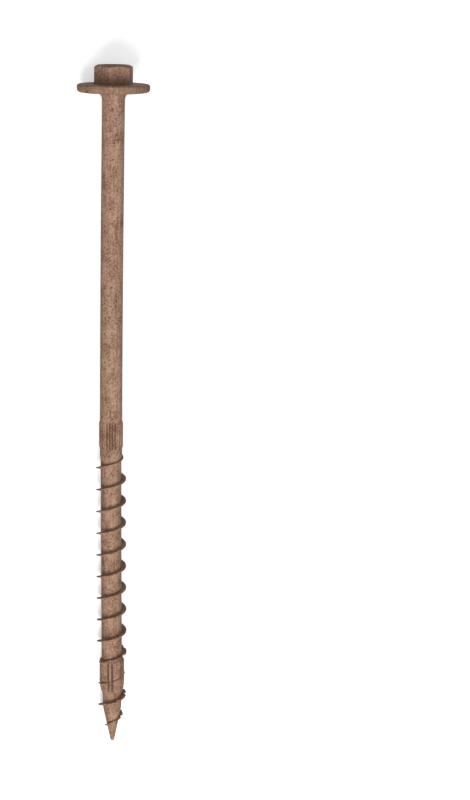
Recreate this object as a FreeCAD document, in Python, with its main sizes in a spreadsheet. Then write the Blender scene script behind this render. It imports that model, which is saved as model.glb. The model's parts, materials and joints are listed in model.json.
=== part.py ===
import FreeCAD, Part
import os
from math import asin, atan2, ceil, cos, degrees, hypot, pi, radians, sin

import Sketcher

# Construction screw: hex washer head, plain shank, knurled band, one coarse right-handed
# thread, fluted reamer barrel and a saw-toothed conical point, cold formed in one piece.
#
# The screw is drawn upright about Z. The face of the flange that bears on the timber lies
# at z = 0, the head is above it and the point is at z = -screw_length. The front is -Y.
# At the end the whole screw is laid on the floor, on the flange's rim and the thread.

SIZES = (
    ("screw_length", 152.4, "bearing face to the end of the point"),

    ("hex_across_flats", 7.85, "hex head, flat to flat"),
    ("hex_height", 4.2, "flange to the top of the hex"),
    ("hex_turn", 18.5, "angle of a corner from +X"),
    ("hex_top_diameter", 7.2, "flat left inside the chamfer on the hex"),
    ("hex_chamfer_angle", 30, "chamfer below the horizontal"),
    ("hex_base_radius", 0.25, "fillet between hex and flange"),
    ("dish_diameter", 5.6, "shallow dish in the top of the hex"),
    ("dish_depth", 0.35, ""),

    ("flange_diameter", 16.3, ""),
    ("flange_thickness", 1.8, ""),
    ("rim_top_radius", 0.45, "rounding of the rim, hex side"),
    ("rim_bottom_radius", 0.8, "rounding of the rim, timber side"),
    ("underhead_radius", 1.6, "fillet from the bearing face to the shank"),
    ("shank_diameter", 5.1, ""),

    ("band_diameter", 5.5, "knurled band at the lower end of the shank"),
    ("band_length", 6.8, ""),
    ("band_taper", 0.75, "length of each tapered end of the band"),
    ("band_to_thread", 0.65, "plain neck between the band and the first thread"),
    ("band_groups", 5, "groups of grooves round the band"),
    ("band_grooves", 4, "grooves in a group"),
    ("band_groove_step", 14.4, "angle between grooves of a group"),
    ("band_groove_width", 0.5, ""),
    ("band_groove_depth", 0.18, ""),

    ("neck_length", 0.95, "first thread to the start of the neck's taper"),
    ("neck_taper", 1.3, "shank down to the thread's root"),
    ("thread_pitch", 5.24, ""),
    ("thread_diameter", 6.95, "over the crests"),
    ("root_diameter", 4.75, "between the crests"),
    ("thread_length", 68.15, "along the axis, first thread to last"),
    ("thread_turn", 85, "angle at which the thread leaves the neck"),
    ("run_in_length", 3.66, "along the axis, until the crest is at full height"),
    ("ridge_width", 0.94, "thread ridge at the root"),
    ("crest_width", 0.18, "thread ridge at the crest"),
    ("thread_to_tip", 2.4, "last thread to the end of the point"),

    ("barrel_to_tip", 20.6, "upper end of the fluted barrel to the end of the point"),
    ("barrel_length", 8.6, ""),
    ("barrel_diameter", 5.75, ""),
    ("barrel_edge", 0.35, "bevel at the barrel's upper end"),
    ("barrel_taper", 2.5, "length of the barrel's tapered lower end"),
    ("barrel_shoulder_diameter", 5.28, "where the taper steepens"),
    ("barrel_shoulder", 0.9, "length of the steep part"),
    ("barrel_crest_diameter", 6.1, "thread rolled down on the upper barrel"),
    ("barrel_crest_length", 4.8, "length over which it is rolled down"),
    ("flute_pairs", 5, "pairs of flutes round the barrel"),
    ("flute_turn", -98.5, "angle of the rib between the front pair"),
    ("flute_pair_angle", 20.4, "angle between the two flutes of a pair"),
    ("flute_width", 0.75, ""),
    ("flute_depth", 0.35, ""),
    ("flute_start", 1.2, "barrel's upper end to the start of the flutes"),
    ("rest_pair", 3, "pair of flutes turned to the floor, counted on from the front pair"),

    ("point_root_diameter", 4.48, "core just below the barrel"),
    ("point_length", 8.4, "start of the cone to the end of the point"),
    ("point_diameter", 4.25, "core at the start of the cone"),
    ("point_crest_diameter", 6.7, "over the crests below the barrel"),
    ("point_crest_to_tip", 9.4, "where the crest starts to fall to the point"),
    ("last_crest_diameter", 1.9, "over the crest where the thread ends"),
    ("tip_diameter", 1.0, ""),
    ("tip_length", 0.5, "blunt end beyond the cone"),
    ("tip_edge", 0.25, "bevel at the end of the point"),

    ("tooth_step", 62.5, "turn from one notch in the crest to the next"),
    ("tooth_turns", 3.86, "turns of thread above its end that carry notches"),
    ("tooth_depth", 0.55, ""),
    ("tooth_lean", 22, "angle between a notch's steep side and the radius"),
)
FULL_TURN = 360

doc = FreeCAD.newDocument("construction_screw")
sheet = doc.addObject("Spreadsheet::Sheet", "Sizes")
for row, (alias, number, note) in enumerate(SIZES, 1):
    sheet.set(f"A{row}", alias.replace("_", " "))
    sheet.set(f"B{row}", str(number))
    sheet.set(f"C{row}", note)
    sheet.setAlias(f"B{row}", alias)
doc.recompute()


def value(expression):
    """Number that an expression of the sheet's sizes gives."""
    return float(sheet.evalExpression(expression))


def new_body(name):
    return doc.addObject("PartDesign::Body", name)


def origin_plane(body, role):
    return next(item for item in body.Origin.OriginFeatures if item.Role == role)


def outline(body, name, loops, role="XZ_Plane", height=None):
    """Sketch of closed loops of straight lines; each corner's place is bound to the sheet."""
    sketch = body.newObject("Sketcher::SketchObject", name)
    sketch.AttachmentSupport = (origin_plane(body, role), [""])
    sketch.MapMode = "FlatFace"
    if height:
        sketch.setExpression("AttachmentOffset.Base.z", height)
    for corners in loops:
        first = sketch.GeometryCount
        following = list(range(first + 1, first + len(corners))) + [first]
        spots = [FreeCAD.Vector(value(across), value(up), 0) for across, up in corners]
        for line, spot in enumerate(spots):
            sketch.addGeometry(Part.LineSegment(spot, spots[following[line] - first]))
        for line, (across, up) in enumerate(corners, first):
            meeting = Sketcher.Constraint("Coincident", line, 2, following[line - first], 1)
            sketch.addConstraint(meeting)
            for kind, expression, axis in (("DistanceX", across, -2), ("DistanceY", up, -1)):
                if expression == "0":
                    sketch.addConstraint(Sketcher.Constraint("PointOnObject", line, 1, axis))
                    continue
                place = Sketcher.Constraint(kind, line, 1, value(expression))
                number = sketch.addConstraint(place)
                sketch.setExpression(f"Constraints[{number}]", expression)
    return sketch


def polar_spot(radius, angle):
    """Corner of an outline on the XY plane, from its distance and angle."""
    return f"{radius} * cos({angle})", f"{radius} * sin({angle})"


def feature(body, kind, name, profile=None, **sizes):
    """PartDesign feature with its sizes bound to the sheet."""
    item = body.newObject(f"PartDesign::{kind}", name)
    if profile:
        item.Profile = profile
    for size, expression in sizes.items():
        item.setExpression(size, expression)
    return item


def turned(body, kind, name, corners):
    """Revolution or groove of an outline about the screw's axis."""
    sketch = outline(body, f"{name}Outline", [corners])
    item = feature(body, kind, name, sketch)
    item.ReferenceAxis = (sketch, ["V_Axis"])
    item.Angle = FULL_TURN
    doc.recompute()
    return item


def polar(body, name, original, count):
    """Copies of a feature round the screw's axis."""
    pattern = body.newObject("PartDesign::PolarPattern", name)
    pattern.Originals = [original]
    pattern.Axis = (original.Profile[0], ["N_Axis"])
    pattern.Angle = FULL_TURN
    pattern.setExpression("Occurrences", count)
    body.Tip = pattern
    doc.recompute()
    return pattern


def rounded(body, name, radius, chosen):
    """Fillet on the edges of the newest shape that the test picks."""
    base = body.Tip
    names = [f"Edge{index}" for index, edge in enumerate(base.Shape.Edges, 1) if chosen(edge)]
    item = feature(body, "Fillet", name, Radius=radius)
    item.Base = (base, names)
    doc.recompute()
    return item


def circle_at(diameter, height):
    """Test for the circular edge of this diameter at this height."""
    radius = value(diameter) / 2
    level = value(height)

    def test(edge):
        if not isinstance(edge.Curve, Part.Circle):
            return False
        return abs(edge.Curve.Radius - radius) < 1e-4 and abs(edge.Curve.Center.z - level) < 1e-4
    return test


# Heights of the sections, measured down from the bearing face.

THREAD_START = "(Sizes.screw_length - Sizes.thread_to_tip - Sizes.thread_length)"
BAND_END = f"({THREAD_START} - Sizes.band_to_thread)"
BAND_START = f"({BAND_END} - Sizes.band_length)"
BARREL_START = "(Sizes.screw_length - Sizes.barrel_to_tip)"
BARREL_END = f"({BARREL_START} + Sizes.barrel_length)"
CONE_START = "(Sizes.screw_length - Sizes.point_length)"
CONE_END = "(Sizes.screw_length - Sizes.tip_length)"

# The core's diameter and the height at which it holds, from the bearing face to the point.
CORE = (
    ("Sizes.shank_diameter", "0"),
    ("Sizes.shank_diameter", f"-{BAND_START}"),
    ("Sizes.band_diameter", f"-{BAND_START} - Sizes.band_taper"),
    ("Sizes.band_diameter", f"-{BAND_END} + Sizes.band_taper"),
    ("Sizes.shank_diameter", f"-{BAND_END}"),
    ("Sizes.shank_diameter", f"-{THREAD_START} - Sizes.neck_length"),
    ("Sizes.root_diameter", f"-{THREAD_START} - Sizes.neck_length - Sizes.neck_taper"),
    ("Sizes.root_diameter", f"-{BARREL_START}"),
    ("Sizes.barrel_diameter", f"-{BARREL_START} - Sizes.barrel_edge"),
    ("Sizes.barrel_diameter", f"-{BARREL_END} + Sizes.barrel_taper"),
    ("Sizes.barrel_shoulder_diameter", f"-{BARREL_END} + Sizes.barrel_shoulder"),
    ("Sizes.point_root_diameter", f"-{BARREL_END}"),
    ("Sizes.point_diameter", f"-{CONE_START}"),
    ("Sizes.tip_diameter", f"-{CONE_END}"),
    ("Sizes.tip_diameter", "-Sizes.screw_length + Sizes.tip_edge"),
    ("(Sizes.tip_diameter - 2 * Sizes.tip_edge)", "-Sizes.screw_length"),
)


# The blank: head, flange, shank, barrel and core, without the thread.

blank = new_body("Blank")
flange = [("0", "Sizes.flange_thickness"),
          ("Sizes.flange_diameter / 2", "Sizes.flange_thickness"),
          ("Sizes.flange_diameter / 2", "0")]
core = [(f"{diameter} / 2", height) for diameter, height in CORE]
turned(blank, "Revolution", "Core", flange + core + [("0", "-Sizes.screw_length")])
for name, radius, diameter, height in (
        ("RimTop", "Sizes.rim_top_radius", "Sizes.flange_diameter", "Sizes.flange_thickness"),
        ("RimBottom", "Sizes.rim_bottom_radius", "Sizes.flange_diameter", "0"),
        ("Underhead", "Sizes.underhead_radius", "Sizes.shank_diameter", "0")):
    rounded(blank, name, radius, circle_at(diameter, height))

hex_corner = "Sizes.hex_across_flats / 2 / cos(30)"
hex_top = "Sizes.flange_thickness + Sizes.hex_height"
hex_outline = outline(
    blank, "HexOutline",
    [[polar_spot(hex_corner, f"Sizes.hex_turn + {turn}") for turn in range(0, FULL_TURN, 60)]],
    "XY_Plane", "Sizes.flange_thickness")
feature(blank, "Pad", "Hex", hex_outline, Length="Sizes.hex_height")
doc.recompute()
chamfer_width = f"({hex_corner} - Sizes.hex_top_diameter / 2)"
turned(blank, "Groove", "HexChamfer", [
    ("Sizes.hex_top_diameter / 2", hex_top),
    (f"Sizes.hex_top_diameter / 2 + 2 * {chamfer_width}", hex_top),
    (f"Sizes.hex_top_diameter / 2 + 2 * {chamfer_width}",
     f"{hex_top} - 2 * {chamfer_width} * tan(Sizes.hex_chamfer_angle)")])
turned(blank, "Groove", "Dish", [
    ("0", hex_top),
    ("Sizes.dish_diameter / 2", hex_top),
    ("Sizes.dish_diameter / 2 - Sizes.dish_depth", f"{hex_top} - Sizes.dish_depth"),
    ("0", f"{hex_top} - Sizes.dish_depth")])
seam_height = value("Sizes.flange_thickness")
seam_length = value("Sizes.hex_across_flats") * 0.5
rounded(blank, "HexBase", "Sizes.hex_base_radius",
        lambda edge: isinstance(edge.Curve, Part.Line) and edge.Length > seam_length
        and edge.BoundBox.ZMax < seam_height + 1e-4)

# Grooves of the knurled band: a group at the front, and the other groups round the band.

FRONT = -90
band_edge = "Sizes.band_diameter / 2"
groove_half_angle = "(asin(Sizes.band_groove_width / Sizes.band_diameter) / 1 deg)"
grooves = []
for number in range(round(value("Sizes.band_grooves"))):
    angle = f"{FRONT} + ({number} - (Sizes.band_grooves - 1) / 2) * Sizes.band_groove_step"
    clear = f"({band_edge} + Sizes.band_groove_depth)"
    grooves.append([
        polar_spot(clear, f"{angle} - 2 * {groove_half_angle}"),
        polar_spot(f"({band_edge} - Sizes.band_groove_depth)", angle),
        polar_spot(clear, f"{angle} + 2 * {groove_half_angle}")])
groove_outline = outline(blank, "BandGrooveOutline", grooves, "XY_Plane",
                         f"-{BAND_START} - Sizes.band_taper")
band_groove = feature(blank, "Pocket", "BandGrooves", groove_outline,
                      Length="Sizes.band_length - 2 * Sizes.band_taper")
doc.recompute()
polar(blank, "BandGrooveGroups", band_groove, "Sizes.band_groups")


# The thread ridge, one solid wound from the neck down to the point. Its section has a
# flared root, two flanks and a narrow crest, and its height follows the laws below.

CURVE_DEGREE = 9
BURIED_SHARE = 0.85
BURIED_WIDTH_SHARE = 1.3
KNEE_HEIGHT_SHARE = 0.25
KNEE_WIDTH_SHARE = 0.45
LEAST_WIDTH_SHARE = 0.45
SAME_WAY = 1

thread_top = -value(THREAD_START)
thread_end = -value("Sizes.screw_length - Sizes.thread_to_tip")
pitch = value("Sizes.thread_pitch")
start_angle = radians(value("Sizes.thread_turn"))
root_radius = value("Sizes.root_diameter / 2")
full_height = value("(Sizes.thread_diameter - Sizes.root_diameter) / 2")
core_law = [(value(height), value(f"{diameter} / 2")) for diameter, height in CORE]
crest_law = [(value(height), value(f"{diameter} / 2")) for diameter, height in (
    ("Sizes.shank_diameter * 0.97", f"-{THREAD_START}"),
    ("Sizes.thread_diameter", f"-{THREAD_START} - Sizes.run_in_length"),
    ("Sizes.thread_diameter", f"-{BARREL_START} + Sizes.barrel_edge"),
    ("Sizes.barrel_crest_diameter", f"-{BARREL_START} - Sizes.barrel_edge"),
    ("Sizes.barrel_crest_diameter", f"-{BARREL_START} - Sizes.barrel_crest_length"),
    ("Sizes.point_crest_diameter", f"-{BARREL_START} - Sizes.barrel_crest_length - 1"),
    ("Sizes.point_crest_diameter", "-Sizes.screw_length + Sizes.point_crest_to_tip"),
    ("Sizes.last_crest_diameter", "-Sizes.screw_length + Sizes.thread_to_tip"))]


def by_law(law, height):
    """Radius at a height, by straight lines between the law's entries."""
    for (upper, wide), (lower, narrow) in zip(law, law[1:]):
        if height >= lower:
            share = min(1, (upper - height) / (upper - lower))
            return wide + (narrow - wide) * share
    return law[-1][1]


def ridge_section(height):
    """Corners of the ridge's section as radius and distance up the axis."""
    base = min(root_radius, by_law(core_law, height))
    crest = by_law(crest_law, height)
    tall = crest - base
    width = max(LEAST_WIDTH_SHARE, min(1, tall / full_height))
    root_half = value("Sizes.ridge_width / 2") * width
    crest_half = value("Sizes.crest_width / 2") * width
    knee_half = crest_half + (root_half - crest_half) * KNEE_WIDTH_SHARE
    lower = [(base * BURIED_SHARE, root_half * BURIED_WIDTH_SHARE),
             (base + tall * KNEE_HEIGHT_SHARE, knee_half), (crest, crest_half)]
    return [(radius, -half) for radius, half in lower] + [pair for pair in reversed(lower)]


def wound(turn):
    """The section's corners in space, this far round the thread in radians."""
    height = thread_top - pitch * turn / (2 * pi)
    angle = start_angle - turn
    return [FreeCAD.Vector(radius * cos(angle), radius * sin(angle), height + rise)
            for radius, rise in ridge_section(height)]


def wound_edges(first, last):
    """One smooth edge through each corner of the section, over at most one turn."""
    shares = [(1 - cos(pi * step / CURVE_DEGREE)) / 2 for step in range(CURVE_DEGREE + 1)]
    sections = [wound(first + (last - first) * share) for share in shares]
    edges = []
    for path in zip(*sections):
        curve = Part.BezierCurve()
        curve.interpolate([[spot] for spot in path], shares)
        edges.append(curve.toShape())
    return edges


def end_face(turn):
    corners = wound(turn)
    return Part.Face(Part.makePolygon(corners + corners[:1]))


all_turns = 2 * pi * (thread_top - thread_end) / pitch
bends = [2 * pi * (thread_top - height) / pitch for height, _ in crest_law]
ridge_faces = [end_face(0), end_face(all_turns)]
for first, last in zip(bends, bends[1:]):
    pieces = ceil((last - first) / (2 * pi))
    cuts = [first + (last - first) * piece / pieces for piece in range(pieces + 1)]
    for start, end in zip(cuts, cuts[1:]):
        edges = wound_edges(start, end)
        ridge_faces += [Part.makeRuledSurface(edges[corner - 1], edges[corner], SAME_WAY)
                        for corner in range(len(edges))]
ridge_shell = Part.Shape(Part.makeShell(ridge_faces))
ridge_shell.sewShape()
ridge_solid = Part.Solid(ridge_shell.Shells[0])
if ridge_solid.Volume < 0:
    ridge_solid.reverse()
ridge = doc.addObject("Part::Feature", "Ridge")
ridge.Shape = ridge_solid


# Saw teeth: notches in the crest of the last turns, each cut by the corner of a square bar.

LEAST_NOTCH = 0.1
DEPTH_LIMIT = 0.7
first_notch = all_turns - 2 * pi * value("Sizes.tooth_turns")
notch_step = radians(value("Sizes.tooth_step"))
bars = []
for number in range(int((all_turns - first_notch) / notch_step)):
    turn = first_notch + number * notch_step
    height = thread_top - pitch * turn / (2 * pi)
    crest = by_law(crest_law, height)
    ridge_height = crest - by_law(core_law, height)
    depth = min(value("Sizes.tooth_depth"), DEPTH_LIMIT * ridge_height)
    if depth < LEAST_NOTCH:
        continue
    angle = start_angle - turn
    bar = doc.addObject("Part::Box", f"NotchBar{number}")
    bar.setExpression("Length", "Sizes.tooth_depth * 4")
    bar.setExpression("Width", "Sizes.tooth_depth * 4")
    bar.setExpression("Height", "Sizes.ridge_width * 2")
    corner = FreeCAD.Vector((crest - depth) * cos(angle), (crest - depth) * sin(angle),
                            height - value("Sizes.ridge_width"))
    lean = degrees(angle) + value("Sizes.tooth_lean") - 90
    bar.Placement = FreeCAD.Placement(corner, FreeCAD.Rotation(FreeCAD.Vector(0, 0, 1), lean))
    bars.append(bar)
notches = doc.addObject("Part::Compound", "Notches")
notches.Links = bars
toothed = doc.addObject("Part::Cut", "ToothedRidge")
toothed.Base = ridge
toothed.Tool = notches
threaded = doc.addObject("Part::Fuse", "Threaded")
threaded.Base = blank
threaded.Tool = toothed
doc.recompute()


# The flutes, cut through the barrel and the thread that crosses it. The rib between the
# two flutes of a pair stays at the barrel's diameter, and the thread is gone from it.

screw = new_body("Screw")
screw.BaseFeature = threaded
barrel_edge = "(Sizes.barrel_diameter / 2)"
flute_floor = f"({barrel_edge} - Sizes.flute_depth)"
flute_clear = "(Sizes.thread_diameter * 0.62)"
flute_half_angle = "(asin(Sizes.flute_width / Sizes.barrel_diameter) / 1 deg)"
half_pair = "Sizes.flute_pair_angle / 2"
one_side = [(barrel_edge, f"{half_pair} - {flute_half_angle}"),
            (flute_floor, half_pair),
            (barrel_edge, f"{half_pair} + {flute_half_angle}"),
            (flute_clear, f"{half_pair} + {flute_half_angle}")]
flute_corners = [polar_spot(radius, f"Sizes.flute_turn + {angle}") for radius, angle in one_side]
flute_corners += [polar_spot(radius, f"Sizes.flute_turn - ({angle})")
                  for radius, angle in reversed(one_side)]
flute_outline = outline(screw, "FluteOutline", [flute_corners], "XY_Plane",
                        f"-{BARREL_START} - Sizes.flute_start")
flutes = feature(screw, "Pocket", "Flutes", flute_outline,
                 Length="Sizes.barrel_length - Sizes.flute_start")
doc.recompute()
polar(screw, "FlutePairs", flutes, "Sizes.flute_pairs")


# The screw lies on the floor on the rounded rim of the flange and on the two cut ends of the
# thread beside a pair of flutes, just below the barrel, which keep it from rolling.

down_angle = radians(value(f"Sizes.flute_turn + Sizes.rest_pair * {FULL_TURN} / Sizes.flute_pairs"))
cut_half_angle = radians(value(f"{half_pair} + {flute_half_angle}"))
barrel_end = -value(BARREL_END)
down_turn = (start_angle - down_angle) % (2 * pi)
downs = [thread_top - pitch * (down_turn / (2 * pi) + number)
         for number in range(ceil(all_turns / (2 * pi)))]
under_pair = min(height for height in downs if height > barrel_end)
contact = under_pair - pitch * cut_half_angle / (2 * pi)
thread_level = by_law(crest_law, contact) * cos(cut_half_angle)
rim_radius = value("Sizes.rim_bottom_radius")
rim_centre = value("Sizes.flange_diameter / 2") - rim_radius
drop = rim_centre - thread_level
reach = rim_radius - contact
tilt = atan2(drop, reach) + asin(rim_radius / hypot(drop, reach))
laid = (FreeCAD.Rotation(FreeCAD.Vector(0, 1, 0), 90 - degrees(tilt))
        * FreeCAD.Rotation(FreeCAD.Vector(0, 0, 1), -degrees(down_angle)))
floor_side = FreeCAD.Vector(cos(down_angle), sin(down_angle), 0)
up_screw = FreeCAD.Vector(0, 0, 1)
lowest = laid.multVec(floor_side * rim_centre + up_screw * rim_radius).z - rim_radius
head_end = laid.multVec(floor_side * value("Sizes.hex_top_diameter / 2")
                        + up_screw * value(hex_top)).x
point_end = laid.multVec(up_screw * -value("Sizes.screw_length")).x
screw.Placement = FreeCAD.Placement(
    FreeCAD.Vector(-(head_end + point_end) / 2, 0, -lowest), laid)
screw.Label = "construction_screw"
doc.recompute()

for item in doc.Objects:
    faults = {"Invalid", "Error"}.intersection(item.State)
    if faults:
        raise RuntimeError(f"{item.Name} did not build: {faults}")
if screw.Shape.isNull() or not screw.Shape.isValid() or len(screw.Shape.Solids) != 1:
    raise RuntimeError("the screw is not one valid solid")
os.makedirs("parts", exist_ok=True)
screw.Shape.exportStep(f"parts/{screw.Label}.step")
print(f"{screw.Label}: {screw.Shape.Volume:.1f} mm3, box {screw.Shape.BoundBox}")
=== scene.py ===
# %% [markdown]
# # A construction screw with a hex washer head
#
# The screw is one piece of cold-formed steel, 152 mm long, under a matte light brown coating.
# It has a hexagonal head on a wide flange, a plain shank, a knurled band, one coarse thread, a
# fluted barrel and a saw-toothed point. The CAD model already holds those forms. Here the same
# forms are built again with more points, softer edges and a real finish, in the same place.
#
# The plan: turn the bare blank as one skin, let Geometry Nodes raise the thread on it and sink
# the grooves into it, then coat it, light it and look at it from above.

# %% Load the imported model
import bmesh
import bpy
import json
import numpy as np
from math import asin, atan2, cos, degrees, pi, radians, sin, tan
from mathutils import Matrix, Vector

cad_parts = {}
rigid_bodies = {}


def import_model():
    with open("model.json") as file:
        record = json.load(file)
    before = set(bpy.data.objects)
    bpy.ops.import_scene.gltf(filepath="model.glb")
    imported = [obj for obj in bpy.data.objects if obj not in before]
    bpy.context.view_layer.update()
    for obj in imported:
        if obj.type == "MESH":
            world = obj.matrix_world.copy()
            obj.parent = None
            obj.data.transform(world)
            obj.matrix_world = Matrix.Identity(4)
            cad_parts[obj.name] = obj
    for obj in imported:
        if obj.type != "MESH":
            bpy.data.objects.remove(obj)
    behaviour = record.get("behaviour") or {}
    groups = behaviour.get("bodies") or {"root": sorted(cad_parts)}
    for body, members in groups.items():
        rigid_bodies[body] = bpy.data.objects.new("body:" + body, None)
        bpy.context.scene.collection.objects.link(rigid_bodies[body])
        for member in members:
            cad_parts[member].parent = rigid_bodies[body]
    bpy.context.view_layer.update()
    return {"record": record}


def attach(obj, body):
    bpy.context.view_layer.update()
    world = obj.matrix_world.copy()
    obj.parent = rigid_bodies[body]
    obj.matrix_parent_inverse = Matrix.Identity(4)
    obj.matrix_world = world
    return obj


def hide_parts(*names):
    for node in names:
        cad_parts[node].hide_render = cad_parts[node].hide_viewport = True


# Blender may start with objects of its own, such as a cube, and they aren't part of the screw
for left_over in list(bpy.data.objects):
    bpy.data.objects.remove(left_over)
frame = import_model()
NODE = "construction_screw"

# %% [markdown]
# ## Where the screw lies
#
# A screw is easiest to describe upright about its own axis: millimetres, z = 0 at the face that
# bears on the timber, the head above it, the front at -Y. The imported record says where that
# axis lies on the floor, so one matrix carries every point from the upright screw to its place.

# %% The screw's own frame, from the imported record's hex mount
# The mount's height is over the bearing face. FLOOR_SIDE is the side of the screw that faces
# the floor, as an angle about its axis.
MM = 0.001
HEX_MOUNT_HEIGHT = 3.9
FLOOR_SIDE = radians(117.5)

hex_mount = next(m for m in frame["record"]["mounts"] if m["name"] == "hex_drive")
axis = Vector(hex_mount["axis"]).normalized()
floorward = Vector((axis.z, 0, -axis.x))
sideways = axis.cross(floorward)
across = floorward * cos(FLOOR_SIDE) - sideways * sin(FLOOR_SIDE)
back = floorward * sin(FLOOR_SIDE) + sideways * cos(FLOOR_SIDE)
bearing = Vector(hex_mount["pos_m"]) - axis * HEX_MOUNT_HEIGHT * MM
LAID = Matrix.Translation(bearing) @ Matrix((across, back, axis)).transposed().to_4x4()
LAID = LAID @ Matrix.Scale(MM, 4)
print("the axis rises", round(degrees(asin(axis.z)), 2), "degrees towards the head")

# %% [markdown]
# ## Camera
#
# The photograph was taken from the front, from a little higher than the head of the upright
# screw. The camera's place and turn were fitted to the screw's edges in the photograph, in the
# screw's own frame, so they are given in that frame and carried over by the same matrix. As the
# screw lies here, that camera looks down on it.

# %% Camera, with its place in millimetres and its turns in radians, in the screw's frame
# The focal length is in pixels of a picture 800 pixels high.
FRAME_HEIGHT = 800
FOCAL_PIXELS = 2043.54
SENSOR = 36
NEAREST, FARTHEST = 0.01, 10
CAMERA_DISTANCE = 456.94
CAMERA_HEIGHT = 31.95
PAN, TILT, ROLL = -0.0611, -0.2185, -0.0151

camera = bpy.data.objects.new("camera", bpy.data.cameras.new("camera"))
bpy.context.scene.collection.objects.link(camera)
bpy.context.scene.camera = camera
camera.data.sensor_width = SENSOR
camera.data.lens = FOCAL_PIXELS / FRAME_HEIGHT * SENSOR
camera.data.clip_start, camera.data.clip_end = NEAREST, FARTHEST
print("lens:", round(camera.data.lens, 2), "mm")

# %% Turn the camera: pan, then tilt, then roll
looking = Matrix.Rotation(PAN, 3, "Z")
right, forward = looking @ Vector((1, 0, 0)), looking @ Vector((0, 1, 0))
tipped = Matrix.Rotation(TILT, 3, right)
forward, up = tipped @ forward, tipped @ Vector((0, 0, 1))
rolled = Matrix.Rotation(ROLL, 3, forward)
right, up = rolled @ right, rolled @ up
turned = LAID.to_3x3().normalized() @ Matrix((right, up, -forward)).transposed()
stand = LAID @ Vector((0, -CAMERA_DISTANCE, CAMERA_HEIGHT))
camera.matrix_world = Matrix.Translation(stand) @ turned.to_4x4()
print("camera at", tuple(round(c, 3) for c in camera.matrix_world.translation))

# %% [markdown]
# ## The blank
#
# Before rolling, the screw is a headed blank: everything that a lathe could turn, and a hexagon.
# A list of heights and radii is its profile. The skin is a grid that goes round the axis in
# columns and down it in rows. Two things make it fit for what comes later. The columns meet the
# six corners of the hexagon, and below the band the rows slope like the thread and crowd
# together where its ridge will stand, so that the ridge has points to be raised with.

# %% Sizes of the head and shank, in millimetres
HEX_TURN = radians(18.5)
HEX_FLATS, HEX_TOP, HEX_HEIGHT = 7.85, 7.2, 4.2
HEX_BASE_RADIUS = 0.25
CHAMFER = radians(30)
DISH, DISH_DEPTH, DISH_ROUNDING = 5.6, 0.35, 0.3
FLANGE, THICKNESS = 16.3, 1.8
RIM_TOP, RIM_BOTTOM = 0.45, 0.8
UNDERHEAD = 1.6
SHANK = 5.1
TOP = THICKNESS + HEX_HEIGHT
print("head:", FLANGE, "mm wide and", TOP, "mm high, shank:", SHANK, "mm")

# %% Columns of the skin, 34 to each face of the hexagon
TURN = 2 * pi
FACE = TURN / 6
COLUMNS = 6 * 34
angles = HEX_TURN + TURN * np.arange(COLUMNS) / COLUMNS
from_flat = (angles - HEX_TURN) % FACE - FACE / 2
hexagon = HEX_FLATS / 2 / np.cos(from_flat)


def ring(radius, height):
    """A row of the skin: its radius and height at every column."""
    return np.broadcast_to(radius, COLUMNS), np.broadcast_to(height, COLUMNS)


print("columns:", COLUMNS, "hexagon across corners:", round(2 * hexagon.max(), 2))

# %% Rows of the hexagonal head, from the middle of the dish outwards and down
AT_AXIS = 0.001
ROUND_STEPS = 6
ARC = [pi / 2 * step / ROUND_STEPS for step in range(ROUND_STEPS + 1)]
BETWEEN = (0.3, 0.7)

rows = [ring(AT_AXIS, TOP - DISH_DEPTH), ring(DISH / 2 - 2 * DISH_DEPTH, TOP - DISH_DEPTH),
        ring(DISH / 2 - DISH_DEPTH, TOP - DISH_DEPTH * (1 - DISH_ROUNDING)),
        ring(DISH / 2, TOP), ring((DISH + HEX_TOP) / 4, TOP), ring(HEX_TOP / 2, TOP)]
chamfer_end = TOP - (hexagon - HEX_TOP / 2) * tan(CHAMFER)
rows += [ring((hexagon + HEX_TOP / 2) / 2, (chamfer_end + TOP) / 2), ring(hexagon, chamfer_end)]
rows += [ring(hexagon, chamfer_end * (1 - share) + (THICKNESS + HEX_BASE_RADIUS) * share)
         for share in BETWEEN]
rows += [ring(hexagon + HEX_BASE_RADIUS * (1 - cos(arc)),
              THICKNESS + HEX_BASE_RADIUS * (1 - sin(arc))) for arc in ARC]
print("rows in the hexagon:", len(rows))

# %% Rows of the flange, round its rim and into the shank
ON_FLANGE = (0.35, 0.7)
rows += [ring(hexagon * (1 - share) + (FLANGE / 2 - RIM_TOP) * share, THICKNESS)
         for share in ON_FLANGE]
rows += [ring(FLANGE / 2 - RIM_TOP * (1 - sin(arc)), THICKNESS - RIM_TOP * (1 - cos(arc)))
         for arc in ARC]
rows += [ring(FLANGE / 2 - RIM_BOTTOM * (1 - cos(arc)), RIM_BOTTOM * (1 - sin(arc)))
         for arc in ARC]
rows += [ring(SHANK / 2 + UNDERHEAD * (2 - share), 0) for share in BETWEEN]
rows += [ring(SHANK / 2 + UNDERHEAD * (1 - sin(arc)), -UNDERHEAD * (1 - cos(arc)))
         for arc in ARC]
print("rows in the head:", len(rows))

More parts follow.
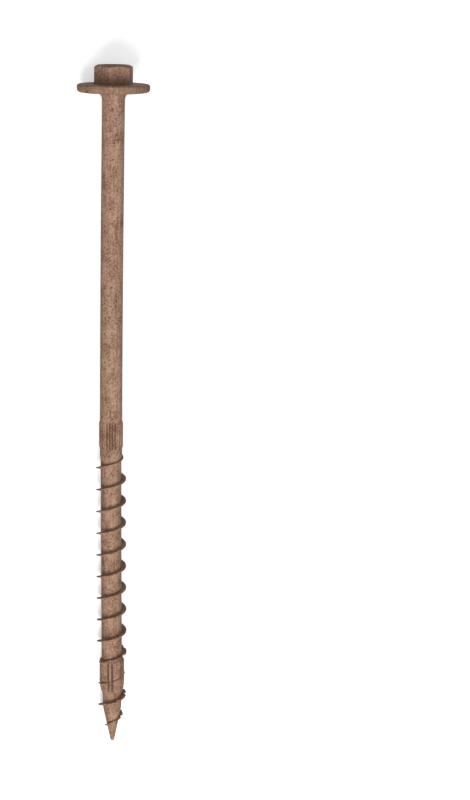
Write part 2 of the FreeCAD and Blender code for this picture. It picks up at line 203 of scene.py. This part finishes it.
# %% Heights and diameters of the core and of the thread's crest, from the shank to the point
LENGTH = 152.4
BAND_ENDS = (-74.4, -81.2)
THREAD_START = -81.85
FLUTE_ENDS = (-132.3, -140.4)
ROOT, BAND, BARREL, FULL_CREST = 4.75, 5.5, 5.75, 6.95
CORE = [(-UNDERHEAD, SHANK), (BAND_ENDS[0], SHANK), (-75.15, BAND), (-80.45, BAND),
        (BAND_ENDS[1], SHANK), (-82.8, SHANK), (-84.1, ROOT), (-131.8, ROOT), (-132.15, BARREL),
        (-137.9, BARREL), (-139.5, 5.28), (FLUTE_ENDS[1], 4.48), (-144.0, 4.25), (-151.9, 1.0),
        (-152.15, 1.0), (-LENGTH, 0.5)]
CREST = [(-81.3, 4.2), (THREAD_START, 4.95), (-85.51, FULL_CREST), (-131.45, FULL_CREST),
         (-132.15, 6.1), (-136.6, 6.1), (-137.6, 6.7), (-143.0, 6.7), (-148.9, 3.3),
         (-149.9, 1.9), (-150.5, 0.8)]


def diameter(law, height):
    """Diameter by straight lines between a law's entries."""
    return np.interp(-height, [-entry[0] for entry in law], [entry[1] for entry in law])


print("the thread stands", round((FULL_CREST - ROOT) / 2, 2), "mm over its core")

# %% Rows of the shank and the band
SHANK_STEP, BAND_STEP = 3, 0.4
BELOW_FILLET, JOIN_GAP = 1, 0.1
JOIN = BAND_ENDS[1] - JOIN_GAP


def corners(upper, lower, spacing):
    """Heights from upper to lower, with the core's own corners among them."""
    steps = np.linspace(upper, lower, max(2, round((upper - lower) / spacing) + 1))
    own = [height for height, _ in CORE if lower < height < upper]
    return sorted({round(float(h), 4) for h in list(steps) + own}, reverse=True)


shank_rows = corners(-UNDERHEAD - BELOW_FILLET, BAND_ENDS[0] + 2 * BAND_STEP, SHANK_STEP)
shank_rows += corners(BAND_ENDS[0] + BAND_STEP, JOIN + JOIN_GAP, BAND_STEP)
rows += [ring(diameter(CORE, height) / 2, height) for height in shank_rows]
print("rows on the shank and band:", len(shank_rows))

# %% Rows that slope with the thread
PITCH = 5.24
START_ANGLE = 85
SPREAD = [0.045, 0.09, 0.14, 0.2, 0.27, 0.35, 0.45, 0.75, 1.2, 1.7, 2.2]
OFFSETS = [-offset for offset in reversed(SPREAD)] + [0] + SPREAD + [PITCH / 2]

# the crest's height at each column, just above the join
crest_line = THREAD_START - PITCH * ((radians(START_ANGLE) - angles) / TURN)
crest_line += PITCH * np.ceil((JOIN - crest_line) / PITCH)
turns = int(np.ceil((LENGTH + crest_line.max()) / PITCH)) + 1
for turn in range(turns):
    for offset in OFFSETS:
        heights = np.clip(crest_line - turn * PITCH - offset, -LENGTH, JOIN)
        rows.append(ring(diameter(CORE, heights) / 2, heights))
rows.append(ring(AT_AXIS, -LENGTH))
print("rows in all:", len(rows), "turns laid:", turns)

# %% [markdown]
# The sloping rows meet the level ones at a clean ring, because rows above the join are pushed
# down onto it and merge there. The slope closes on itself: after one full turn a row has
# dropped by one pitch, where the next row starts. So the last column is joined to the first
# column of the row one pitch further down.

# %% Make points from the rows, and find the column where the slope closes
radii = np.array([row[0] for row in rows])
heights = np.array([row[1] for row in rows])
points = np.stack([radii * np.cos(angles), radii * np.sin(angles), heights], -1)
last_row = len(rows) - 1
first_sloping = last_row - turns * len(OFFSETS)
rise = np.append(crest_line[1:], crest_line[0]) - crest_line
seam = int(np.argmax(np.abs(rise)))
drop = len(OFFSETS) if rise[seam] > 0 else -len(OFFSETS)
print("grid:", points.shape, "seam at column", seam)

# %% Join the points into one closed skin
SAME_POINT, SLIVER = 0.004, 0.002
mesh = bpy.data.meshes.new("screw")
skin = bmesh.new()
grid = [[skin.verts.new(point) for point in row] for row in points]
for row in range(last_row):
    for column in range(COLUMNS):
        beside = (column + 1) % COLUMNS
        near, far = row, row + 1
        if column == seam and row >= first_sloping:
            near, far = (min(max(r + drop, first_sloping), last_row) for r in (near, far))
        four = [grid[row][column], grid[row + 1][column], grid[far][beside], grid[near][beside]]
        if len(set(four)) == 4:
            skin.faces.new(four)
bmesh.ops.remove_doubles(skin, verts=skin.verts, dist=SAME_POINT)
bmesh.ops.dissolve_degenerate(skin, edges=skin.edges, dist=SLIVER)
bmesh.ops.recalc_face_normals(skin, faces=skin.faces)
open_edges = sum(1 for edge in skin.edges if not edge.is_manifold)
skin.to_mesh(mesh)
skin.free()
print("skin:", len(mesh.vertices), "points,", len(mesh.polygons), "faces, open edges:", open_edges)

# %% Mark where the colour is darker: over the head but for its corners, and painted shade most at the hexagon's foot
DARKENING_ATTRIBUTE, SHADE_HEIGHT, SHADE_REACH = "painted shade and darker head", 1.6, 0.9
HEAD_DARKENING, CORNER_REACH = 0.3, radians(2)
darkening = mesh.attributes.new(DARKENING_ATTRIBUTE, "FLOAT", "POINT")
for vertex, mark in zip(mesh.vertices, darkening.data):
    # Painted shade: the hexagon grows darker towards its foot on the flange. The head is also
    # drawn darker all over, but not on its sharp corners.
    near_hex = vertex.co.xy.length < HEX_FLATS / 2 + SHADE_REACH and THICKNESS <= vertex.co.z
    foot = 1 - (vertex.co.z - THICKNESS) / SHADE_HEIGHT if near_hex else 0
    past_corner = (atan2(vertex.co.y, vertex.co.x) - HEX_TURN) % FACE
    on_corner = near_hex and min(past_corner, FACE - past_corner) < CORNER_REACH
    mark.value = max(foot, HEAD_DARKENING if vertex.co.z > 0 and not on_corner else 0)
screw = bpy.data.objects.new("screw", mesh)
bpy.context.scene.collection.objects.link(screw)
print("marked points:", sum(1 for mark in darkening.data if mark.value > 0))

# %% [markdown]
# ## Coating
#
# The steel lies under a zinc base and a matte organic coating over it, so that the screw can
# stay in wet timber. It dries light brown and a little uneven: fine grains, soft patches a few
# millimetres wide, faint runs along the shank and small dark pinholes. The patterns are sized
# from the screw in millimetres, and the model is in metres, so each pattern's scale is one over
# its size. The real grains are finer than a pixel of the picture, so they are drawn at 0.4 mm,
# as coarse as they need to be to show.
#
# The coating is drawn darker over the head, but not on the hexagon's sharp corners. Painted shade
# darkens the corner under the hexagon, the foot of the thread, the thread's low parts and the
# grooves. An attribute on the points holds how much darker each point is.

# %% One function adds every node
def add(tree, kind, *given, **settings):
    """Add a node, make its settings, and give its open inputs numbers or links in order."""
    made = tree.nodes.new(kind)
    for name, setting in settings.items():
        setattr(made, name, setting)
    for socket, value in zip([s for s in made.inputs if s.enabled], given):
        if isinstance(value, bpy.types.NodeSocket):
            tree.links.new(value, socket)
        elif value is not None:
            socket.default_value = value
    return next((s for s in made.outputs if s.enabled), None)


MATH, MIX, RAMP = "ShaderNodeMath", "ShaderNodeMix", "ShaderNodeMapRange"
print("kinds of node used most:", MATH, MIX, RAMP)

# %% Colours and empty materials
def paint(hex_colour):
    """An sRGB colour written in hex, as the linear colour that a material takes."""
    parts = [int(hex_colour[i:i + 2], 16) / 255 for i in (0, 2, 4)]
    return [p / 12.92 if p <= 0.04045 else ((p + 0.055) / 1.055) ** 2.4 for p in parts] + [1]


def new_material(name):
    """An empty material and its node tree."""
    material = bpy.data.materials.new(name)
    material.use_nodes = True
    material.node_tree.nodes.clear()
    return material, material.node_tree


print("mid grey in linear colour:", [round(c, 3) for c in paint("808080")])

# %% Matte light brown coating on steel: its patterns
# Dip-spun organic coating over zinc flake: dull, grainy, no metal glint, a soft wide highlight.
GRAIN, PATCH, RUN = 0.4, 3.0, 0.5
GRAIN_SHARE, PATCH_SHARE, RUN_SHARE = 0.5, 0.3, 0.2
RUN_SQUEEZE = (0.06, 1, 1)

coating, tree = new_material("matte light brown coating on steel")
place = tree.nodes.new("ShaderNodeTexCoord").outputs["Object"]
grain = add(tree, "ShaderNodeTexNoise", place, 1 / (GRAIN * MM), 3, 0.6)
patches = add(tree, "ShaderNodeTexNoise", place, 1 / (PATCH * MM), 2, 0.5)
# squeezed along the screw, the runs' pattern comes out long and narrow
drawn_out = add(tree, "ShaderNodeMapping", place, None, None, RUN_SQUEEZE)
runs = add(tree, "ShaderNodeTexNoise", drawn_out, 1 / (RUN * MM), 2, 0.5)
mottle = add(tree, MATH, grain, GRAIN_SHARE, operation="MULTIPLY")
mottle = add(tree, MATH, patches, PATCH_SHARE, mottle, operation="MULTIPLY_ADD")
mottle = add(tree, MATH, runs, RUN_SHARE, mottle, operation="MULTIPLY_ADD")
print("mottle from grain", GRAIN, "mm, patches", PATCH, "mm and runs", RUN, "mm")

# %% The coating's light and dark
COAT, COAT_PALE, COAT_DARK = "a07e68", "b99883", "785641"
DARK_AT, PALE_AT = 0.4, 0.6
tone = tree.nodes.new("ShaderNodeValToRGB")
dark_end, pale_end = tone.color_ramp.elements
dark_end.position, dark_end.color = DARK_AT, paint(COAT_DARK)
pale_end.position, pale_end.color = PALE_AT, paint(COAT_PALE)
tone.color_ramp.elements.new((DARK_AT + PALE_AT) / 2).color = paint(COAT)
tree.links.new(mottle, tone.inputs[0])
print("tones:", COAT_DARK, COAT, COAT_PALE)

# %% Its pinholes, specks, painted shade and darker head
PIT, PIT_RAGGED, PIT_EDGE, PIT_COLOUR = 2.6, 0.6, (0.05, 0.1), "3a2a20"
SPECK_EDGE, SPECK_SHARE = (0.3, 0.4), 0.4
SHADE_SHARE, SHADE_COLOUR = 0.75, "4f2e1c"
ragged = add(tree, "ShaderNodeVectorMath", grain.node.outputs["Color"], (PIT_RAGGED * MM,) * 3,
             place, operation="MULTIPLY_ADD")
cells = add(tree, "ShaderNodeTexVoronoi", ragged, 1 / (PIT * MM))
pits = add(tree, RAMP, cells, *PIT_EDGE, 1, 0)
specks = add(tree, RAMP, grain, *SPECK_EDGE, SPECK_SHARE, 0)
# Painted shade from the points' attribute, over the hexagon's foot, the thread's foot and low
# parts and the grooves, and a darker head.
darkening_node = tree.nodes.new("ShaderNodeAttribute")
darkening_node.attribute_name = DARKENING_ATTRIBUTE
painted_dark = add(tree, MATH, darkening_node.outputs["Fac"], SHADE_SHARE, operation="MULTIPLY")
darker = add(tree, MATH, painted_dark, specks, operation="MAXIMUM")
colour = add(tree, MIX, darker, tone.outputs[0], paint(SHADE_COLOUR), data_type="RGBA")
colour = add(tree, MIX, pits, colour, paint(PIT_COLOUR), data_type="RGBA")
print("pinholes about", PIT, "mm apart, pools:", SHADE_COLOUR)

# %% The coating's surface: typical dull paint, with the grain and pinholes in relief
DULL = {"Metallic": 0, "IOR": 1.5, "Roughness": 0.65, "Specular IOR Level": 0.15}
PIT_DROP, RELIEF, RELIEF_HEIGHT, RELIEF_FILTER = -0.6, 0.35, 0.03, 0.1
relief = add(tree, MATH, pits, PIT_DROP, grain, operation="MULTIPLY_ADD")
bump = add(tree, "ShaderNodeBump", RELIEF, RELIEF_HEIGHT * MM, RELIEF_FILTER, relief)
bsdf = tree.nodes.new("ShaderNodeBsdfPrincipled")
for socket, value in DULL.items():
    bsdf.inputs[socket].default_value = value
tree.links.new(colour, bsdf.inputs["Base Color"])
tree.links.new(bump, bsdf.inputs["Normal"])
add(tree, "ShaderNodeOutputMaterial", bsdf.outputs[0])
print("coating nodes:", len(tree.nodes))

# %% [markdown]
# ## Rolling the thread
#
# Two flat dies roll the thread. They squeeze steel out of the core into one ridge that winds
# down to the point, and the same dies leave the notches that make the point cut like a saw.
# A node tree does the same: it finds how far each point of the skin lies from the winding line
# of the crest, and pushes it out from the axis by the ridge's height there.
#
# The ridge stands on a broad foot and narrows quickly to a thin, nearly parallel blade. Its
# height comes from the crest diameters listed above, which run out at the band, drop on the
# barrel and fall away to the tip.

# %% Start a tree, and read each point's place
def new_tree(name, sizes):
    """An empty Geometry Nodes tree that takes a mesh and named sizes, with its input node."""
    made = bpy.data.node_groups.new(name, "GeometryNodeTree")
    made.interface.new_socket("Geometry", in_out="INPUT", socket_type="NodeSocketGeometry")
    made.interface.new_socket("Geometry", in_out="OUTPUT", socket_type="NodeSocketGeometry")
    for size in sizes:
        made.interface.new_socket(size, in_out="INPUT", socket_type="NodeSocketFloat")
    made.interface.new_socket("Coating", in_out="INPUT", socket_type="NodeSocketMaterial")
    return made, made.nodes.new("NodeGroupInput").outputs


def place_of_points(made):
    """The nodes that read a point's x, y, z, its distance from the axis and its angle."""
    position = made.nodes.new("GeometryNodeInputPosition").outputs[0]
    split = add(made, "ShaderNodeSeparateXYZ", position).node.outputs
    flat = add(made, "ShaderNodeCombineXYZ", split[0], split[1])
    radius = add(made, "ShaderNodeVectorMath", flat, operation="LENGTH")
    angle = add(made, MATH, split[1], split[0], operation="ARCTAN2")
    return split, radius, add(made, MATH, angle, operation="DEGREES")


thread, given = new_tree("Rolled Thread", [
    "Pitch", "Start Height", "Start Angle", "Ridge Half Width", "Notch Depth", "Unevenness",
    "Seed"])
split, radius, angle = place_of_points(thread)
print("thread tree inputs:", [socket.name for socket in given if socket.name])

# %% How far each point lies from the winding line of the crest
below = add(thread, MATH, given["Start Height"], split[2], operation="SUBTRACT")
behind = add(thread, MATH, given["Start Angle"], angle, operation="SUBTRACT")
turn_share = add(thread, MATH, behind, 360, operation="DIVIDE")
phase = add(thread, MATH, below, given["Pitch"], operation="DIVIDE")
phase = add(thread, MATH, phase, turn_share, operation="SUBTRACT")
winding = add(thread, MATH, phase, operation="ROUND")
off_crest = add(thread, MATH, phase, winding, operation="SUBTRACT")
off_crest = add(thread, MATH, off_crest, given["Pitch"], operation="MULTIPLY")
crest_height = add(thread, MATH, split[2], off_crest, operation="ADD")
print("nodes up to the crest line:", len(thread.nodes))

# %% How high the crest is there, uneven by a few hundredths of a millimetre
UNEVEN, UNEVEN_SIZE = 0.06, 2.0
crest = CREST[0][1] / 2
for (upper, wide), (lower, narrow) in zip(CREST, CREST[1:]):
    change = add(thread, RAMP, crest_height, upper, lower, 0, (narrow - wide) / 2)
    crest = add(thread, MATH, change, crest, operation="ADD")
waver = add(thread, "ShaderNodeTexNoise", None, given["Seed"], 1 / UNEVEN_SIZE, 2, 0.5,
            noise_dimensions="4D")
waver = add(thread, MATH, waver, 0.5, operation="SUBTRACT")
crest = add(thread, MATH, waver, given["Unevenness"], crest, operation="MULTIPLY_ADD")
print("nodes up to the crest law:", len(thread.nodes))

# %% How deep the notches are cut: each starts steeply and runs out slowly
# FIRST_NOTCH counts turns, DEPTH_LIMIT is a share of the ridge, and NOTCH_LEAN is in degrees to
# a millimetre. The depth is in millimetres, the others in degrees.
FIRST_NOTCH, NOTCH_STEP, NOTCH_DEPTH = 9.1457, 62.5, 0.55
NOTCH_FRONT, NOTCH_TAIL, NOTCH_LEAN, DEPTH_LIMIT = 3.75, 17.2, 9, 0.7
turns_down = add(thread, MATH, winding, turn_share, operation="ADD")
notch = add(thread, MATH, turns_down, FIRST_NOTCH, operation="SUBTRACT")
past = add(thread, MATH, notch, 360, NOTCH_FRONT, operation="MULTIPLY_ADD")
past = add(thread, MATH, off_crest, NOTCH_LEAN, past, operation="MULTIPLY_ADD")
share = add(thread, MATH, past, NOTCH_STEP, operation="FLOORED_MODULO")
share = add(thread, MATH, share, NOTCH_FRONT, operation="SUBTRACT")
front = add(thread, MATH, share, 1 / NOTCH_FRONT, 1, operation="MULTIPLY_ADD")
tail = add(thread, MATH, share, -1 / NOTCH_TAIL, 1, operation="MULTIPLY_ADD")
depth = add(thread, MATH, front, tail, operation="MINIMUM")
depth = add(thread, MATH, depth, 0, operation="MAXIMUM")
begun = add(thread, MATH, past, 0, operation="GREATER_THAN")
depth = add(thread, MATH, depth, begun, operation="MULTIPLY")
depth = add(thread, MATH, depth, given["Notch Depth"], operation="MULTIPLY")
print("notches", NOTCH_DEPTH, "mm deep every", NOTCH_STEP, "degrees")

# %% The ridge's section
# RIDGE_SHAPE pairs how far a point lies aside, as a share of the half width, with its height.
RIDGE_HALF = 0.41
RIDGE_SHAPE = [(0, 1), (0.28, 1), (0.36, 0.94), (0.64, 0.25), (0.82, 0.07), (1, 0)]
FULL_HEIGHT, THINNEST = 1.1, 0.62
tall = add(thread, MATH, crest, radius, operation="SUBTRACT")
tall = add(thread, MATH, tall, 0, operation="MAXIMUM")
narrowing = add(thread, MATH, tall, FULL_HEIGHT, operation="DIVIDE")
narrowing = add(thread, MATH, narrowing, THINNEST, operation="MAXIMUM")
narrowing = add(thread, MATH, narrowing, 1, operation="MINIMUM")
half = add(thread, MATH, given["Ridge Half Width"], narrowing, operation="MULTIPLY")
aside = add(thread, MATH, off_crest, operation="ABSOLUTE")
aside = add(thread, MATH, aside, half, operation="DIVIDE")
section = add(thread, "ShaderNodeFloatCurve", 1, aside)
curve = section.node.mapping.curves[0]
while len(curve.points) < len(RIDGE_SHAPE):
    curve.points.new(0.5, 0.5)
for point, spot in zip(curve.points, RIDGE_SHAPE):
    point.location, point.handle_type = spot, "VECTOR"
section.node.mapping.update()
print("ridge foot:", 2 * RIDGE_HALF, "mm wide")

# %% The points raised to the ridge, less the notches
deepest = add(thread, MATH, tall, DEPTH_LIMIT, operation="MULTIPLY")
depth = add(thread, MATH, depth, deepest, operation="MINIMUM")
cut_to = add(thread, MATH, tall, depth, operation="SUBTRACT")
raised = add(thread, MATH, tall, section, operation="MULTIPLY")
raised = add(thread, MATH, raised, cut_to, operation="MINIMUM")
raised = add(thread, MATH, radius, raised, operation="ADD")
print("nodes up to the raised points:", len(thread.nodes))

# %% Painted shade: along the ridge's foot, and all over it where it is low
FOOT, FLANK = (0, 0.2), (0.2, 0.6)
LOW_RIDGE, NO_RIDGE, THREAD_MARK = (0.45, 0.75), (0.03, 0.12), 0.7
low_down = add(thread, RAMP, section, *FOOT, 0, 1)
high_up = add(thread, RAMP, section, *FLANK, 1, 0)
all_over = add(thread, RAMP, tall, *LOW_RIDGE, 1, 0)
thread_shade = add(thread, MATH, high_up, all_over, operation="MAXIMUM")
thread_shade = add(thread, MATH, low_down, thread_shade, operation="MULTIPLY")
standing = add(thread, RAMP, tall, *NO_RIDGE, 0, THREAD_MARK)
thread_shade = add(thread, MATH, thread_shade, standing, operation="MULTIPLY")
print("nodes up to the marks:", len(thread.nodes))

# %% Move the points and end the tree
NEAR_AXIS = 0.01


def move_points(made, inputs, split, radius, wanted, darkening):
    """The nodes that store the painted shade, move each point, and end the tree."""
    known = add(made, "GeometryNodeInputNamedAttribute", DARKENING_ATTRIBUTE)
    most = add(made, MATH, known, darkening, operation="MAXIMUM")
    marked = add(made, "GeometryNodeStoreNamedAttribute", inputs["Geometry"], None, DARKENING_ATTRIBUTE, most)
    stretch = add(made, MATH, radius, NEAR_AXIS, operation="MAXIMUM")
    stretch = add(made, MATH, wanted, stretch, operation="DIVIDE")
    out_x = add(made, MATH, split[0], stretch, operation="MULTIPLY")
    out_y = add(made, MATH, split[1], stretch, operation="MULTIPLY")
    moved = add(made, "ShaderNodeCombineXYZ", out_x, out_y, split[2])
    touched = add(made, "FunctionNodeCompare", wanted, radius, data_type="FLOAT",
                  operation="NOT_EQUAL")
    shifted = add(made, "GeometryNodeSetPosition", marked, touched, moved)
    real = add(made, "GeometryNodeRealizeInstances", shifted)
    coated = add(made, "GeometryNodeSetMaterial", real, None, inputs["Coating"])
    add(made, "NodeGroupOutput", coated)


move_points(thread, given, split, radius, raised, thread_shade)
print("thread tree nodes:", len(thread.nodes))

# %% [markdown]
# ## Grooves in the band and the barrel
#
# Both are small grooves along the axis in groups: fine ones knurled into the band, to clear the
# hole for the shank, and pairs of flutes across the barrel that cut the fibres. So one tree
# makes both. It sinks a groove below a stated radius, and where its groups have a clearing it
# also takes away what stands above that radius, as the flutes do with the thread.

# %% The grooves' tree: the nearest group
WAVER_SIZE = 0.9
grooves, given = new_tree("Lengthwise Grooves", [
    "Radius", "Depth", "Width", "Upper End", "Lower End", "First Angle", "Groups", "In Group",
    "Step Angle", "Clearing", "Unevenness", "Seed"])
split, radius, angle = place_of_points(grooves)
waver = add(grooves, "ShaderNodeTexNoise", None, given["Seed"], 1 / WAVER_SIZE, 2, 0.5,
            noise_dimensions="4D")
waver = add(grooves, MATH, waver, 0.5, operation="SUBTRACT")
angle = add(grooves, MATH, waver, given["Unevenness"], angle, operation="MULTIPLY_ADD")
group_angle = add(grooves, MATH, 360, given["Groups"], operation="DIVIDE")
last = add(grooves, MATH, given["In Group"], 1, operation="SUBTRACT")
reach = add(grooves, MATH, last, given["Step Angle"], operation="MULTIPLY")
reach = add(grooves, MATH, reach, 2, operation="DIVIDE")
within = add(grooves, MATH, angle, given["First Angle"], operation="SUBTRACT")
within = add(grooves, MATH, within, reach, operation="SUBTRACT")
half_group = add(grooves, MATH, group_angle, 2, operation="DIVIDE")
within = add(grooves, MATH, within, half_group, operation="ADD")
within = add(grooves, MATH, within, group_angle, operation="FLOORED_MODULO")
within = add(grooves, MATH, within, half_group, operation="SUBTRACT")
print("grooves tree inputs:", [socket.name for socket in given if socket.name])

# %% The nearest groove of that group, and how far away its middle is
counted = add(grooves, MATH, within, reach, operation="ADD")
counted = add(grooves, MATH, counted, given["Step Angle"], operation="DIVIDE")
nearest = add(grooves, MATH, counted, operation="ROUND")
nearest = add(grooves, MATH, nearest, 0, operation="MAXIMUM")
nearest = add(grooves, MATH, nearest, last, operation="MINIMUM")
away = add(grooves, MATH, counted, nearest, operation="SUBTRACT")
away = add(grooves, MATH, away, given["Step Angle"], operation="MULTIPLY")
away = add(grooves, MATH, away, operation="RADIANS")
away = add(grooves, MATH, away, given["Radius"], operation="MULTIPLY")
away = add(grooves, MATH, away, operation="ABSOLUTE")
away = add(grooves, MATH, away, given["Width"], operation="DIVIDE")
print("nodes up to the nearest groove:", len(grooves.nodes))

# %% Sink the groove, clear what stands over it, and paint shade in it
HALF_WIDTH = 0.5
hollow = add(grooves, RAMP, away, 0, HALF_WIDTH, 1, 0, interpolation_type="SMOOTHSTEP")
bottom = add(grooves, MATH, hollow, given["Depth"], operation="MULTIPLY")
bottom = add(grooves, MATH, given["Radius"], bottom, operation="SUBTRACT")
above = add(grooves, MATH, split[2], given["Lower End"], operation="GREATER_THAN")
under = add(grooves, MATH, split[2], given["Upper End"], operation="LESS_THAN")
inside = add(grooves, MATH, above, under, operation="MULTIPLY")
cleared = add(grooves, MATH, within, operation="ABSOLUTE")
cleared = add(grooves, MATH, cleared, given["Clearing"], operation="LESS_THAN")
grooved = add(grooves, MATH, hollow, 0, operation="GREATER_THAN")
touched = add(grooves, MATH, cleared, grooved, operation="MAXIMUM")
touched = add(grooves, MATH, touched, inside, operation="MULTIPLY")
sunk = add(grooves, MATH, radius, bottom, operation="MINIMUM")
wanted = add(grooves, MIX, touched, radius, sunk)
# Painted shade in the groove, darkest at its middle.
groove_shade = add(grooves, MATH, sunk, radius, operation="LESS_THAN")
groove_shade = add(grooves, MATH, hollow, groove_shade, operation="MULTIPLY")
groove_shade = add(grooves, MATH, groove_shade, inside, operation="MULTIPLY")
move_points(grooves, given, split, radius, wanted, groove_shade)
print("grooves tree nodes:", len(grooves.nodes))

# %% Roll the thread
def work(name, made, **sizes):
    """Put a tree on the screw with its named inputs set, before it is first worked out."""
    modifier = screw.modifiers.new(name, "NODES")
    modifier.node_group = made
    for socket in made.interface.items_tree:
        if socket.in_out == "INPUT" and socket.name == "Coating":
            modifier[socket.identifier] = coating
        elif socket.in_out == "INPUT" and socket.name != "Geometry":
            modifier[socket.identifier] = float(sizes[socket.name.replace(" ", "_")])


work("thread", thread, Pitch=PITCH, Start_Height=THREAD_START, Start_Angle=START_ANGLE,
     Ridge_Half_Width=RIDGE_HALF, Notch_Depth=NOTCH_DEPTH, Unevenness=UNEVEN, Seed=4)
print("rolled at a pitch of", PITCH, "mm")

# %% Knurl the band and cut the flutes, in five groups each
GROUPS, GROOVE_SEED = 5, 7
KNURLS, KNURL_DEPTH, KNURL_WIDTH, KNURL_STEP, KNURL_MIDDLE = 4, 0.24, 0.6, 14.4, -90
KNURL_WAVER = 5
FLUTES, FLUTE_DEPTH, FLUTE_WIDTH, FLUTE_STEP, FLUTE_MIDDLE = 2, 0.35, 0.78, 20.4, -98.5
FLUTE_CLEARING = 17.7


def first_angle(middle, count, step):
    """The angle of the first groove of a group round its middle."""
    return middle - (count - 1) / 2 * step


work("knurls", grooves, Radius=BAND / 2, Depth=KNURL_DEPTH, Width=KNURL_WIDTH,
     Upper_End=BAND_ENDS[0], Lower_End=BAND_ENDS[1], Groups=GROUPS, In_Group=KNURLS,
     First_Angle=first_angle(KNURL_MIDDLE, KNURLS, KNURL_STEP), Step_Angle=KNURL_STEP,
     Clearing=0, Unevenness=KNURL_WAVER, Seed=GROOVE_SEED)
work("flutes", grooves, Radius=BARREL / 2, Depth=FLUTE_DEPTH, Width=FLUTE_WIDTH,
     Upper_End=FLUTE_ENDS[0], Lower_End=FLUTE_ENDS[1], Groups=GROUPS, In_Group=FLUTES,
     First_Angle=first_angle(FLUTE_MIDDLE, FLUTES, FLUTE_STEP), Step_Angle=FLUTE_STEP,
     Clearing=FLUTE_CLEARING, Unevenness=0, Seed=GROOVE_SEED)
print("worked with:", [modifier.name for modifier in screw.modifiers])

# %% Turn the result into a plain mesh
bpy.context.view_layer.update()
worked = screw.evaluated_get(bpy.context.evaluated_depsgraph_get())
finished = bpy.data.meshes.new_from_object(worked)
screw.modifiers.clear()
screw.data = finished
print("worked:", len(finished.polygons), "faces, coating:", [m.name for m in finished.materials])

# %% [markdown]
# ## Laying the screw down
#
# In the photograph the long shank isn't quite straight: its middle stands 0.42 mm to the left of
# a line from head to point. So the mesh is bowed by that before it is laid on the floor. Faces
# that meet at a steep angle keep a hard edge, as at the hexagon, and the others shade smoothly.

# %% Bow, lay down and smooth
EDGE_ANGLE = radians(38)
BOW = 0.42
for vertex in finished.vertices:
    vertex.co.x -= BOW * sin(pi * min(max(-vertex.co.z / LENGTH, 0), 1))
finished.transform(LAID)
finished.shade_smooth()
finished.set_sharp_from_angle(angle=EDGE_ANGLE)
lowest = min(vertex.co.z for vertex in finished.vertices)
triangles = sum(len(polygon.vertices) - 2 for polygon in finished.polygons)
print("lowest point:", round(lowest / MM, 3), "mm, triangles:", triangles)

# %% [markdown]
# ## Floor and light
#
# A white floor takes the screw's soft shadow. To the camera it is lit paper; to the screw it
# sends back little light, so that the sides of the round shank stay darker than its middle, as
# they are in the photograph. Both lamps are suns, so the floor is as bright at its far edge as
# by the screw, and both are very broad, so the shadow is soft. The key stands some 40 degrees
# from the camera, towards the screw's point, and a weaker one fills from beside the camera.

# %% Which rays see the bright floor and sky
def seen_rays(tree):
    """One for rays from the camera, and for those that it sees by reflection or through glass."""
    rays = tree.nodes.new("ShaderNodeLightPath").outputs
    share = add(tree, MATH, rays["Is Camera Ray"], rays["Is Glossy Ray"], operation="MAXIMUM")
    return add(tree, MATH, share, rays["Is Transmission Ray"], operation="MAXIMUM")


print("rays told apart: camera, glossy, transmission")

# %% Floor
FLOOR_SIZE = 6
PAPER, PAPER_GLOW, QUIET = 0.92, 0.5, 0.12
WHITE = (1, 1, 1, 1)
paper, tree = new_material("white paper")
seen = add(tree, "ShaderNodeBsdfDiffuse", (PAPER, PAPER, PAPER, 1))
glow = add(tree, "ShaderNodeEmission", WHITE, PAPER_GLOW)
bright = add(tree, "ShaderNodeAddShader", seen, glow)
quiet = add(tree, "ShaderNodeBsdfDiffuse", (QUIET, QUIET, QUIET, 1))
mixed = add(tree, "ShaderNodeMixShader", seen_rays(tree), quiet, bright)
add(tree, "ShaderNodeOutputMaterial", mixed)
bpy.ops.mesh.primitive_plane_add(size=FLOOR_SIZE)
floor = bpy.context.object
floor.name = "floor"
floor.data.materials.append(paper)
print("floor:", FLOOR_SIZE, "m square")

# %% Lamps
def lamp(name, spot, breadth, strength):
    """A wide soft light from far off, as broad in degrees as stated, seen from the screw."""
    made = bpy.data.objects.new(name, bpy.data.lights.new(name, "SUN"))
    made.data.angle, made.data.energy = radians(breadth), strength
    made.location = spot
    made.rotation_euler = (-Vector(spot)).to_track_quat("-Z", "Y").to_euler()
    bpy.context.scene.collection.objects.link(made)


lamp("key", spot=(-0.6, 0.5, 0.85), breadth=30, strength=2.3)
lamp("fill", spot=(0.15, 0.4, 1.0), breadth=50, strength=0.8)

# %% World: dim for the screw, white for the camera
SKY_DIM, SKY_WHITE = 0.17, 1
world = bpy.data.worlds.new("studio")
bpy.context.scene.world = world
world.use_nodes = True
tree = world.node_tree
tree.nodes.clear()
dim = add(tree, "ShaderNodeBackground", WHITE, SKY_DIM)
white = add(tree, "ShaderNodeBackground", WHITE, SKY_WHITE)
sky = add(tree, "ShaderNodeMixShader", seen_rays(tree), dim, white)
add(tree, "ShaderNodeOutputWorld", sky)
bpy.context.scene.view_settings.view_transform = "Standard"
print("world nodes:", len(tree.nodes))

# %% Join the screw to the CAD frame and finish
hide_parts(NODE)
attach(screw, "root")
